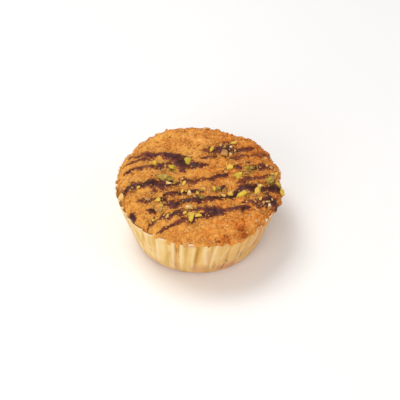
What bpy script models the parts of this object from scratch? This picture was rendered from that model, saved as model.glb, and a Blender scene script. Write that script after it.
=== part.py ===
"""A round coconut cupcake in its pleated paper case, drizzled with dark chocolate
and strewn with chopped pistachio.

Metres, +Z up. The origin is the centre of the case's flat foot, which rests on the
plane Z = 0. The drizzle runs roughly along X, and the front faces -Y.
"""

import bmesh
import bpy
import numpy as np
from mathutils import Matrix, Vector, noise

MM = 0.001  # sizes below are in millimetres, and angles in degrees

# Paper case
RIM_RADIUS = 37.2
BASE_RADIUS = 29.0  # where the sloping wall would meet the table without its round
CASE_HEIGHT = 27.1  # mean height of the rim
RIM_TILT = 1.4  # the rim is this much higher at the left, and lower at the right
FOOT_ROUND = 5.2  # radius of the round between foot and wall
PAPER = 0.35  # wall thickness
WALL_LEVELS = (0.5, 1.0)  # heights of the rings of points, as shares of the wall
FOOT_LEVELS = (0.0, 0.5, 1.0)  # the same along the foot's round

# Creases that show at the front: angle at the rim, lean down to the foot,
# half-width, and depth in millimetres at the rim
FRONT_CREASES = (
    (-132, -4, 2.2, 0.8),
    (-122, -6, 2.0, 1.0),
    (-112, -5, 1.6, 0.4),
    (-104, -5, 2.3, 1.7),
    (-97, -5, 1.6, 0.8),
    (-88, -5, 3.0, 1.9),
    (-79, -2, 2.0, 0.9),
    (-72, 0, 1.6, 0.4),
    (-65, -3, 1.9, 0.8),
    (-57, 0, 2.0, 1.0),
    (-50, 1, 1.8, 0.9),
)
BACK_CREASES = 37  # spread over the rest of the case
BACK_START, BACK_END = -43.0, 221.0
BACK_LEAN = 3.0

# Cake
GAP = 0.3  # between the cake and its case
OVERHANG = 0.9  # the crust reaches this far past the rim at the right
LIP_RISE = 0.9  # height of the crust's widest line above the rim
SHOULDER_HEIGHT = 4.2
SHOULDER_SHARE = 0.15  # of the radius, over which the edge rounds up
DOME_HEIGHT = 2.8
CRUST_GRID = 28  # cells along one side of the crust's grid of faces
LUMPS = ((9.0, 1.1), (3.8, 1.0))  # length and height of the crust's relief
EDGE_LUMPS = (2.6, 0.9)  # the same for the crust's edge, in and out

# Places where the crust's edge swells or falls back: angle, half-width, amount
LIP_WAVES = (
    (3, 10, -1.2),
    (45, 22, 1.0),
    (67, 16, -0.9),
    (110, 24, 0.5),
    (150, 14, -0.9),
    (195, 40, -0.6),
    (-35, 20, 0.5),
    (-75, 25, 0.4),
)

# Lines of chocolate: width, then the points that the line runs through
DRIZZLE = (
    (2.4, ((-32, 11), (-26, 14), (-19, 14.2), (-12, 12), (-7, 9), (-3, 6), (4, 6))),
    (1.7, ((-34, 6), (-28, 9), (-22, 11), (-16, 11.5))),
    (2.0, ((-33, 2), (-27, 5), (-19, 5.5), (-11, 6.5))),
    (2.2, ((2.5, 16), (9, 17), (17, 18.5), (23, 20), (29.5, 21))),
    (1.6, ((2, 10.3), (8, 12), (17, 12.5), (24, 15), (31, 17))),
    (1.8, ((16, 5.5), (22, 7.5), (28, 8.2), (34, 9.8))),
    (2.4, ((-35, -9), (-29, -7), (-20, -5.2), (-10, -4.6), (0, -3.8), (7, -2), (13, 0.4))),
    (1.9, ((18, -5), (21.5, -2), (27, 1), (34, 3))),
    (1.6, ((-14, -12.4), (-7, -11.2), (2, -10.6))),
    (2.2, ((-26, -15), (-18, -14.8), (-11, -17.2), (-2, -15.8), (9, -14.2), (16, -11.8))),
    (2.8, ((16, -11), (20, -8), (26, -6.6), (32, -5.8), (36.5, -3.5))),
    (2.0, ((14, -15.4), (21, -14.2), (28, -14.2), (35, -12.2))),
    (2.0, ((-22, -28.5), (-17, -25), (-8, -22.5), (2, -20.7), (13, -20.4), (24, -18))),
    (2.0, ((-17.5, -32), (-10, -29.3), (-3, -26.6), (5, -24.3), (11, -22))),
)
DRIZZLE_HEIGHT = 0.7
DRIZZLE_DEPTH = 0.9  # how far a line's body reaches into the crust
DRIZZLE_STEP = 3.5

# Pools where the chocolate ran together: centre, length, width, turn
POOLS = (
    (-9, 9, 9.0, 5.0, -55),
    (11, 19, 9.5, 4.4, 32),
    (-19.5, -5.5, 10.5, 5.4, -12),
    (-31, -8, 5.0, 3.6, 10),
    (23, -7, 8.0, 4.2, 12),
    (-11.5, -18, 4.6, 3.4, 0),
    (7.5, -21.2, 7.0, 3.2, -8),
    (32.3, -13, 6.6, 4.4, 15),
    (33.2, -4.6, 6.0, 3.4, 20),
)

# Chopped nuts: centre, length, width, turn
NUTS = (
    (6.5, 17.5, 3.5, 2.2, 75),
    (16, 23, 3.0, 1.9, 5),
    (11.8, 14.8, 3.6, 2.5, 80),
    (-5, 9, 4.0, 2.6, 70),
    (-19.5, 6.5, 3.0, 2.0, 100),
    (-11.2, 4.0, 3.6, 3.0, 20),
    (-14.5, -2.8, 6.0, 3.6, -8),
    (-12.4, -5.5, 2.4, 2.1, 0),
    (-33, -11.2, 3.6, 2.6, 110),
    (-18, -16.5, 2.4, 2.0, 30),
    (-16.3, -22, 3.2, 2.2, -60),
    (-3.7, -12, 3.2, 2.6, -20),
    (1.7, -14.3, 3.2, 3.0, 90),
    (2.2, -9.7, 2.4, 2.1, 0),
    (-4, -20, 3.3, 2.6, 20),
    (-2.8, -26, 5.0, 2.7, 88),
    (0.4, -24.2, 3.0, 2.2, 10),
    (14.6, -11.3, 3.1, 2.6, -30),
    (19.3, -11, 5.2, 3.0, 35),
    (26.8, -9.5, 4.2, 2.5, 85),
    (28.3, -5.3, 2.6, 2.1, 60),
    (18, 1.5, 3.8, 3.2, 60),
    (14.5, 5, 2.5, 2.3, 0),
    (22.2, 5.5, 3.2, 2.6, 50),
    (32.3, 0, 4.8, 4.0, 40),
    (35.2, -2.2, 3.2, 2.8, 0),
)
NUT_THICKNESS = 0.72  # as a share of a nut's width
NUT_JITTER = 0.16

rng = np.random.default_rng(7)


def clear_scene():
    for item in list(bpy.data.objects):
        bpy.data.objects.remove(item, do_unlink=True)


def material(name, color, roughness, metallic=0.0):
    made = bpy.data.materials.new(name)
    made.use_nodes = True
    shader = made.node_tree.nodes["Principled BSDF"]
    shader.inputs["Base Color"].default_value = (*color, 1.0)
    shader.inputs["Roughness"].default_value = roughness
    shader.inputs["Metallic"].default_value = metallic
    made.diffuse_color = (*color, 1.0)
    return made


def finished(bm, name, finish, sharp_over=40):
    """Turns a bmesh in millimetres into an object in metres, shaded smooth."""
    bmesh.ops.scale(bm, vec=(MM, MM, MM), verts=bm.verts)
    mesh = bpy.data.meshes.new(name)
    bm.to_mesh(mesh)
    bm.free()
    mesh.materials.append(finish)
    mesh.shade_smooth()
    mesh.set_sharp_from_angle(angle=np.radians(sharp_over))
    item = bpy.data.objects.new(name, mesh)
    bpy.context.scene.collection.objects.link(item)
    return item


def swell(angle, waves):
    """The sum of smooth swellings at this angle; each fades out over its half-width."""
    total = 0.0
    for centre, half_width, amount in waves:
        away = abs((angle - centre + 180) % 360 - 180) / half_width
        if away < 1:
            total += amount * (0.5 + 0.5 * np.cos(np.pi * away))
    return total


def rim_height(angle):
    return CASE_HEIGHT - RIM_TILT * np.cos(np.radians(angle))


def all_creases():
    """The hand-placed creases of the front, then a loop of uneven ones round the back."""
    creases = list(FRONT_CREASES)
    pitch = (BACK_END - BACK_START) / BACK_CREASES
    for k in range(BACK_CREASES):
        angle = BACK_START + (k + 0.5 + rng.uniform(-0.12, 0.12)) * pitch
        lean = BACK_LEAN * np.sin(2 * np.radians(angle))
        creases.append((angle, lean, rng.uniform(1.5, 2.2), rng.uniform(0.4, 1.6)))
    return sorted(creases)


def wall_profile(inward):
    """Radius, height and share of the wall's height at each level, moved in by inward.

    The foot's round is an arc that is tangent to the table and to the sloping wall."""
    slope = np.arctan2(RIM_RADIUS - BASE_RADIUS, CASE_HEIGHT)
    centre = BASE_RADIUS - FOOT_ROUND * (1 - np.sin(slope)) / np.cos(slope)
    radius = FOOT_ROUND - inward
    levels = []
    for share in FOOT_LEVELS:
        turn = np.pi / 2 + share * (slope - np.pi / 2)
        z = FOOT_ROUND - radius * np.sin(turn)
        levels.append((centre + radius * np.cos(turn), z, z / CASE_HEIGHT))
    for share in WALL_LEVELS:
        z = CASE_HEIGHT * share
        r = BASE_RADIUS + (RIM_RADIUS - BASE_RADIUS) * share - inward / np.cos(slope)
        levels.append((r, z, share))
    return levels


def wall_ring(bm, creases, level, inward, rise=0.0):
    """One ring of points: three for each crease, at its two shoulders and its bottom.

    The creases deepen from nothing at the foot to their full depth at the rim."""
    radius, z, share = wall_profile(inward)[level]
    ring = []
    for angle, lean, half_width, depth in creases:
        middle = angle + lean * (1 - share)
        for side, inset in ((-1, 0.0), (0, depth), (1, 0.0)):
            turn = middle + side * half_width
            r = radius - inset * min(1.0, 0.15 + share) * (level > 0)
            tilted = z + (rim_height(turn) - CASE_HEIGHT) * share * (level > 0)
            a = np.radians(turn)
            ring.append(bm.verts.new((r * np.cos(a), r * np.sin(a), tilted + rise)))
    return ring


def join_rings(bm, lower, upper):
    """Faces between two rings that run the same way round, with any counts of points."""
    i = j = 0
    while i < len(lower) or j < len(upper):
        a, b = lower[i % len(lower)], upper[j % len(upper)]
        if (i + 1) / len(lower) <= (j + 1) / len(upper):
            bm.faces.new((a, lower[(i + 1) % len(lower)], b))
            i += 1
        else:
            bm.faces.new((a, upper[(j + 1) % len(upper)], b))
            j += 1


def close_disc(bm, ring, z):
    """A fan from a centre point to a ring; the ring's order gives the side it faces."""
    centre = bm.verts.new((0, 0, z))
    for a, b in zip(ring, ring[1:] + ring[:1]):
        bm.faces.new((a, b, centre))


def paper_case(creases):
    bm = bmesh.new()
    levels = range(len(FOOT_LEVELS) + len(WALL_LEVELS))
    outer = [wall_ring(bm, creases, level, 0.0) for level in levels]
    inner = [wall_ring(bm, creases, level, PAPER) for level in levels]
    for k in levels[:-1]:
        join_rings(bm, outer[k], outer[k + 1])
        join_rings(bm, inner[k + 1], inner[k])
    join_rings(bm, outer[-1], inner[-1])
    close_disc(bm, outer[0][::-1], 0.0)
    close_disc(bm, inner[0], PAPER)
    finish = material("greaseproof_paper", (0.80, 0.60, 0.34), 0.55)
    return finished(bm, "paper_case", finish, sharp_over=25)


def lip_radius(angle):
    a = np.radians(angle)
    length, height = EDGE_LUMPS
    spot = Vector((np.cos(a), np.sin(a), 0)) * RIM_RADIUS / length
    bumps = height * noise.noise(spot)
    return RIM_RADIUS + OVERHANG * np.cos(a) + swell(angle, LIP_WAVES) + bumps


def crust_point(x, y):
    """The point of the crust's upper side over x, y: the rim's height, a quarter ellipse
    at the shoulder, a parabola for the dome and a relief of soft lumps."""
    angle = np.degrees(np.arctan2(y, x))
    share = min(np.hypot(x, y) / lip_radius(angle), 1.0)
    inside = max(share - 1 + SHOULDER_SHARE, 0.0) / SHOULDER_SHARE
    z = CASE_HEIGHT + (rim_height(angle) - CASE_HEIGHT) * share + LIP_RISE
    z += SHOULDER_HEIGHT * np.sqrt(1 - inside**2) + DOME_HEIGHT * (1 - share**2)
    for length, height in LUMPS:
        z += height * noise.noise(Vector((x, y, 3 * length)) / length)
    return Vector((x, y, z))


def crust_normal(x, y, step=0.6):
    """The crust's direction out at x, y, kept a little inside its steep edge."""
    pull = min(1.0, 0.96 * RIM_RADIUS / max(np.hypot(x, y), 1.0))
    x, y = x * pull, y * pull
    along_x = crust_point(x + step, y) - crust_point(x - step, y)
    along_y = crust_point(x, y + step) - crust_point(x, y - step)
    return along_x.cross(along_y).normalized()


def crust_grid(bm):
    """A square grid pressed into a disc, so that its cells stay about equal; returns its
    outermost points in order. Square rings become circles, closer together at the edge."""
    half = CRUST_GRID // 2
    cells = range(-half, half + 1)
    verts = {}
    for i in cells:
        for j in cells:
            ring = max(abs(i), abs(j))
            if ring == 0:
                angle = 0.0
            elif abs(i) >= abs(j):
                angle = (0.0 if i > 0 else 180.0) + 45.0 * j / i
            else:
                angle = (90.0 if j > 0 else 270.0) - 45.0 * i / j
            share = 0.975 * (1 - (1 - ring / half) ** 1.25)
            r = share * lip_radius(angle)
            a = np.radians(angle)
            verts[i, j] = bm.verts.new(crust_point(r * np.cos(a), r * np.sin(a)))
    for i in cells[:-1]:
        for j in cells[:-1]:
            corners = [verts[i, j], verts[i + 1, j], verts[i + 1, j + 1], verts[i, j + 1]]
            if (i >= 0) != (j >= 0):
                corners = corners[1:] + corners[:1]
            bm.faces.new(corners[:3])
            bm.faces.new((corners[0], corners[2], corners[3]))
    edge = [verts[half, j] for j in range(-half, half)]
    edge += [verts[i, half] for i in range(half, -half, -1)]
    edge += [verts[-half, j] for j in range(half, -half, -1)]
    edge += [verts[i, -half] for i in range(-half, half)]
    return edge


def lip_ring(bm, inward, rise):
    """A ring round the crust's edge with as many points as the grid has round it."""
    count = 4 * CRUST_GRID
    ring = []
    for k in range(count):
        angle = -45.0 + 360.0 * k / count
        r, a = lip_radius(angle) - inward, np.radians(angle)
        ring.append(bm.verts.new((r * np.cos(a), r * np.sin(a), rim_height(angle) + rise)))
    return ring


def started_at(ring, angle):
    """The ring turned so that it starts at the point nearest this angle."""
    target = Vector((np.cos(np.radians(angle)), np.sin(np.radians(angle))))
    nearest = max(range(len(ring)), key=lambda k: ring[k].co.xy.normalized().dot(target))
    return ring[nearest:] + ring[:nearest]


def cake_body(creases):
    """The baked body: it fills the case's pleats, turns out over the rim as a soft lip,
    and rises to a low dome."""
    bm = bmesh.new()
    inward = PAPER + GAP
    levels = range(len(FOOT_LEVELS) + len(WALL_LEVELS))
    rings = [wall_ring(bm, creases, level, inward) for level in levels]
    rings.append(wall_ring(bm, creases, levels[-1], inward, rise=PAPER))
    close_disc(bm, rings[0][::-1], inward)
    for lower, upper in zip(rings, rings[1:]):
        join_rings(bm, lower, upper)
    neck = started_at(rings[-1], -45)
    under, lip = lip_ring(bm, 0.5, 0.5), lip_ring(bm, 0.0, LIP_RISE)
    join_rings(bm, neck, under)
    join_rings(bm, under, lip)
    join_rings(bm, lip, crust_grid(bm))
    finish = material("golden_crumb", (0.76, 0.33, 0.06), 0.85)
    return finished(bm, "cake", finish)


def smooth_path(points, step):
    """Points at about equal steps on a Catmull-Rom curve through the given ones."""
    knots = np.array([points[0], *points, points[-1]], float)
    path = []
    for a, b, c, d in zip(knots, knots[1:], knots[2:], knots[3:]):
        count = max(1, round(np.linalg.norm(c - b) / step))
        for t in np.arange(count) / count:
            path.append(
                b
                + 0.5 * t * (c - a)
                + t**2 * (a - 2.5 * b + 2 * c - 0.5 * d)
                + t**3 * (1.5 * (b - c) + 0.5 * (d - a))
            )
    return [*path, np.array(points[-1], float)]


def drizzle_line(width, points):
    """A low ridge over the crust: four points across at each station, narrow at its ends."""
    path = smooth_path(points, DRIZZLE_STEP)
    bm = bmesh.new()
    stations = []
    for k, (x, y) in enumerate(path):
        before, after = path[max(k - 1, 0)], path[min(k + 1, len(path) - 1)]
        up = crust_normal(x, y)
        along = Vector((*(after - before), 0)).normalized()
        across = along.cross(up).normalized()
        half = 0.5 * width * (0.55 if k in (0, len(path) - 1) else 1.0)
        on_crust = crust_point(x, y)
        section = ((-half, -DRIZZLE_DEPTH), (-0.72 * half, DRIZZLE_HEIGHT))
        section += tuple((-side, height) for side, height in section[::-1])
        stations.append([bm.verts.new(on_crust + across * s + up * h) for s, h in section])
    for first, second in zip(stations, stations[1:]):
        join_rings(bm, first, second)
    bm.faces.new(stations[0][::-1])
    bm.faces.new(stations[-1])
    bmesh.ops.recalc_face_normals(bm, faces=bm.faces)
    return bm


def pool(x, y, length, width, turn, sides=12):
    """A flat oval patty of chocolate lying on the crust, with a sloping edge."""
    bm = bmesh.new()
    up = crust_normal(x, y)
    rings = []
    for scale, lift in ((1.0, -DRIZZLE_DEPTH), (0.8, DRIZZLE_HEIGHT + 0.15)):
        ring = []
        for k in range(sides):
            a = 2 * np.pi * k / sides
            offset = Vector((0.5 * length * scale * np.cos(a), 0.5 * width * scale * np.sin(a)))
            offset.rotate(Matrix.Rotation(np.radians(turn), 2))
            spot = crust_point(x + offset.x, y + offset.y)
            ring.append(bm.verts.new(spot + up * lift))
        rings.append(ring)
    join_rings(bm, rings[0], rings[1])
    bm.faces.new(rings[0][::-1])
    crown = bm.verts.new(crust_point(x, y) + up * (DRIZZLE_HEIGHT + 0.3))
    for a, b in zip(rings[1], rings[1][1:] + rings[1][:1]):
        bm.faces.new((a, b, crown))
    return bm


def nut(x, y, length, width, turn):
    """An angular chip of twenty uneven faces, sunk a little into the crust."""
    bm = bmesh.new()
    bmesh.ops.create_icosphere(bm, subdivisions=1, radius=0.5)
    for vert in bm.verts:
        vert.co *= 1 + rng.uniform(-NUT_JITTER, NUT_JITTER)
    thickness = NUT_THICKNESS * width
    up = crust_normal(x, y)
    shape = Matrix.Diagonal((length, width, thickness, 1))
    spin = Matrix.Rotation(np.radians(turn) + rng.uniform(-0.2, 0.2), 4, "Z")
    lean = Vector((0, 0, 1)).rotation_difference(up).to_matrix().to_4x4()
    place = Matrix.Translation(crust_point(x, y) + up * 0.3 * thickness)
    bmesh.ops.transform(bm, matrix=place @ lean @ spin @ shape, verts=bm.verts)
    return bm


def fuse_toppings(cake):
    """Joins the chocolate and the nuts to the crust they lie on, as one solid."""
    toppings = bpy.data.collections.new("toppings")
    bpy.context.scene.collection.children.link(toppings)
    chocolate = material("dark_chocolate", (0.07, 0.03, 0.025), 0.4)
    pistachio = material("pistachio", (0.50, 0.47, 0.08), 0.6)
    shapes = [(drizzle_line(width, points), chocolate) for width, points in DRIZZLE]
    shapes += [(pool(*row), chocolate) for row in POOLS]
    shapes += [(nut(*row), pistachio) for row in NUTS]
    for k, (shape, finish) in enumerate(shapes):
        item = finished(shape, f"topping_{k}", finish)
        bpy.context.scene.collection.objects.unlink(item)
        toppings.objects.link(item)

    union = cake.modifiers.new("fuse", "BOOLEAN")
    union.operation = "UNION"
    union.operand_type = "COLLECTION"
    union.collection = toppings
    union.material_mode = "TRANSFER"
    bpy.context.view_layer.objects.active = cake
    bpy.ops.object.modifier_apply(modifier=union.name)
    for item in list(toppings.objects):
        bpy.data.objects.remove(item, do_unlink=True)
    bpy.data.collections.remove(toppings)


def main():
    clear_scene()
    creases = all_creases()
    paper_case(creases)
    fuse_toppings(cake_body(creases))


main()
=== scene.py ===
# A coconut cupcake in its pleated paper case: a craggy golden crust, dark chocolate
# drizzle and chopped pistachio. Shapes are worked out in millimetres and degrees and
# written in metres; +Z is up and the front faces -Y.

import bpy
import numpy as np
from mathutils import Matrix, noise


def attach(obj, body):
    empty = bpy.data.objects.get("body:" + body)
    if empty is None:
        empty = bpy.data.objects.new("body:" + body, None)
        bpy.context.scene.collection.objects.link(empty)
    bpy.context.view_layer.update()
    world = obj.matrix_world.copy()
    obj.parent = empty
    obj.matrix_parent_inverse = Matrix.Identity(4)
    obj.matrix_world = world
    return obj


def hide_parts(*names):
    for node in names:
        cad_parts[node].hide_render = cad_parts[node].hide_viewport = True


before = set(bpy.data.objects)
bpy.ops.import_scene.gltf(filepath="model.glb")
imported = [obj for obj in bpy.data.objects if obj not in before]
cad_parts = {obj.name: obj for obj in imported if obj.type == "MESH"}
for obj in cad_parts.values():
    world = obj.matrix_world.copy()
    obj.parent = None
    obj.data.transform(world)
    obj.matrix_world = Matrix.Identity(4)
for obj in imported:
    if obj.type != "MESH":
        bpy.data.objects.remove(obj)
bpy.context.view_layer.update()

mm = 0.001


# Numbers that look random and come out the same every time

hashing = {
    "primes": np.array([73856093, 19349663, 83492791]), "seedStep": 1640531527,
    "rounds": ((16, 0x45D9F3B), (15, 0x2C1B3C6D), (13, 0x45D9F3B)),  # shift, factor
    "word": 0xFFFFFFFF,
}


def hashed(cells, seed):
    # Each whole-number cell scrambled into a number from 0 to 1
    mixed = cells.astype(np.int64) @ hashing["primes"]
    mixed = (mixed + seed * hashing["seedStep"]) & hashing["word"]
    for shift, factor in hashing["rounds"]:
        mixed = ((mixed ^ (mixed >> shift)) * factor) & hashing["word"]
    return mixed / hashing["word"]


def softNoise(points, size, seed):
    # Smooth noise from -1 to 1: the values of the eight corners of a cube this size,
    # blended with 3t² - 2t³ along each axis
    scaled = points / size
    cell = np.floor(scaled)
    t = scaled - cell
    t = t * t * (3 - 2 * t)
    total = np.zeros(points.shape[:-1])
    for corner in np.ndindex(2, 2, 2):
        weight = np.prod(np.where(corner, t, 1 - t), axis=-1)
        total += weight * hashed(cell + corner, seed)
    return 2 * total - 1


def layers(points, *rows):
    # Soft noises added up; a row is an amount, a size in mm and a seed
    return sum(amount * softNoise(points, size, seed) for amount, size, seed in rows)


def grains(points, size, seed):
    # Scattered middles, one in each cube: the distance to the nearest, in sizes, and a
    # number from 0 to 1 that belongs to it
    cell = np.floor(points / size)
    nearest = np.full(points.shape[:-1], np.inf)
    tone = np.zeros(points.shape[:-1])
    for step in np.ndindex(3, 3, 3):
        here = cell + np.array(step) - 1
        middle = here + np.stack([hashed(here, seed + k) for k in range(3)], axis=-1)
        away = np.linalg.norm(points / size - middle, axis=-1)
        tone = np.where(away < nearest, hashed(here, seed + 3), tone)
        nearest = np.minimum(nearest, away)
    return nearest, tone


def smoothStep(low, high, value):
    t = np.clip((value - low) / (high - low), 0, 1)
    return t * t * (3 - 2 * t)


def fade(away, crest=0):
    # 1 up to the crest, then down to 0 where away is 1
    return 1 - smoothStep(crest, 1, away)


def turnedFrom(middle, angle):
    # Degrees from the middle to the angle, between -180 and 180
    return (angle - middle + 180) % 360 - 180


# Objects, and meshes from arrays

def addObject(name, data):
    made = bpy.data.objects.new(name, data)
    bpy.context.scene.collection.objects.link(made)
    return made


def toPiece(name, points, faces, finish, tones, crisp=None):
    # Points in millimetres; faces as arrays of quads and triangles; tones per point;
    # edges sharper than the crisp angle stay hard
    mesh = bpy.data.meshes.new(name)
    mesh.from_pydata((points * mm).tolist(), [], [f for rows in faces for f in rows.tolist()])
    for tone, values in tones.items():
        layer = mesh.attributes.new(tone, "FLOAT", "POINT")
        layer.data.foreach_set("value", np.ravel(values).astype(np.float32))
    mesh.materials.append(finish)
    mesh.shade_smooth()
    if crisp:
        mesh.set_sharp_from_angle(angle=np.radians(crisp))
    mesh.update()
    piece = addObject(name, mesh)
    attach(piece, "root")
    return piece


def quadsOf(index, wrap=False):
    # The quads of a grid of point numbers; wrap joins its last column to its first
    if wrap:
        index = np.concatenate([index, index[:, :1]], axis=1)
    corners = (index[:-1, :-1], index[:-1, 1:], index[1:, 1:], index[1:, :-1])
    return np.stack(corners, axis=-1).reshape(-1, 4)


def fanOf(ring, middle):
    # Triangles from a ring of point numbers to one point
    return np.stack([ring, np.roll(ring, -1), np.full_like(ring, middle)], axis=-1)


def polar(radius, angle, z):
    turn = np.radians(angle)
    spots = np.broadcast_arrays(radius * np.cos(turn), radius * np.sin(turn), z + 0 * turn)
    return np.stack(spots, axis=-1)


# Materials

def hexColor(text):
    # An sRGB hex value as linear red, green, blue and alpha
    srgb = np.array([int(text[k:k + 2], 16) for k in (1, 3, 5)]) / 255
    linear = np.where(srgb <= 0.04045, srgb / 12.92, ((srgb + 0.055) / 1.055) ** 2.4)
    return (*linear, 1.0)


def addNode(tree, kind, values=None, ramp=None, **settings):
    # A shader node with its settings; a value that is (node, output) becomes a link, and
    # a ramp is a list of positions and hex colours
    made = tree.nodes.new("ShaderNode" + kind)
    for name, value in settings.items():
        setattr(made, name, value)
    for name, value in (values or {}).items():
        if isinstance(value, tuple) and isinstance(value[0], bpy.types.Node):
            tree.links.new(value[0].outputs[value[1]], made.inputs[name])
        else:
            made.inputs[name].default_value = value
    for k, (position, color) in enumerate(ramp or ()):
        stops = made.color_ramp.elements
        stop = stops[k] if k < 2 else stops.new(position)
        stop.position, stop.color = position, hexColor(color)
    return made


def newMaterial(name, **sockets):
    # A Principled material; returns it with its node tree and its shader
    made = bpy.data.materials.new(name)
    made.use_nodes = True
    shader = made.node_tree.nodes["Principled BSDF"]
    for socket, value in sockets.items():
        shader.inputs[socket.replace("_", " ")].default_value = value
    return made, made.node_tree, shader


def ramped(tree, mark, ramp):
    # A mark of the mesh as a colour from a ramp
    tone = addNode(tree, "Attribute", attribute_name=mark)
    return addNode(tree, "ValToRGB", {"Fac": (tone, "Fac")}, ramp=ramp), "Color"


def mottled(tree, place, mark, perMetre, detail, amount, ramp):
    # The same with some noise added to the mark; the noise has this many cells to the
    # metre. Returns the colour and the noise
    tone = addNode(tree, "Attribute", attribute_name=mark)
    cloud = addNode(tree, "TexNoise", {"Vector": (place, "Object"), "Scale": perMetre,
                                       "Detail": detail})
    mixed = addNode(tree, "Math", {0: (cloud, "Fac"), 1: amount, 2: (tone, "Fac")},
                    operation="MULTIPLY_ADD")
    tint = addNode(tree, "ValToRGB", {"Fac": (mixed, 0)}, ramp=ramp)
    return (tint, "Color"), (cloud, "Fac")


def marked(tree, color, marks):
    # A colour under further ones, each laid on by its own mark of the mesh
    for mark, shade in marks:
        amount = addNode(tree, "Attribute", attribute_name=mark)
        layer = addNode(tree, "Mix", {"Factor": (amount, "Fac"), "A": color,
                                      "B": hexColor(shade)}, data_type="RGBA")
        color = (layer, "Result")
    return color


def finishShader(tree, shader, color, height=None, strength=0.0, deep=0.0):
    # Links the colour, and the height as a bump this many mm deep
    tree.links.new(color[0].outputs[color[1]], shader.inputs["Base Color"])
    if height:
        bump = addNode(tree, "Bump", {"Height": height, "Strength": strength,
                                      "Distance": deep * mm})
        tree.links.new(bump.outputs["Normal"], shader.inputs["Normal"])


# The case's shape, which the cake shares

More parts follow.
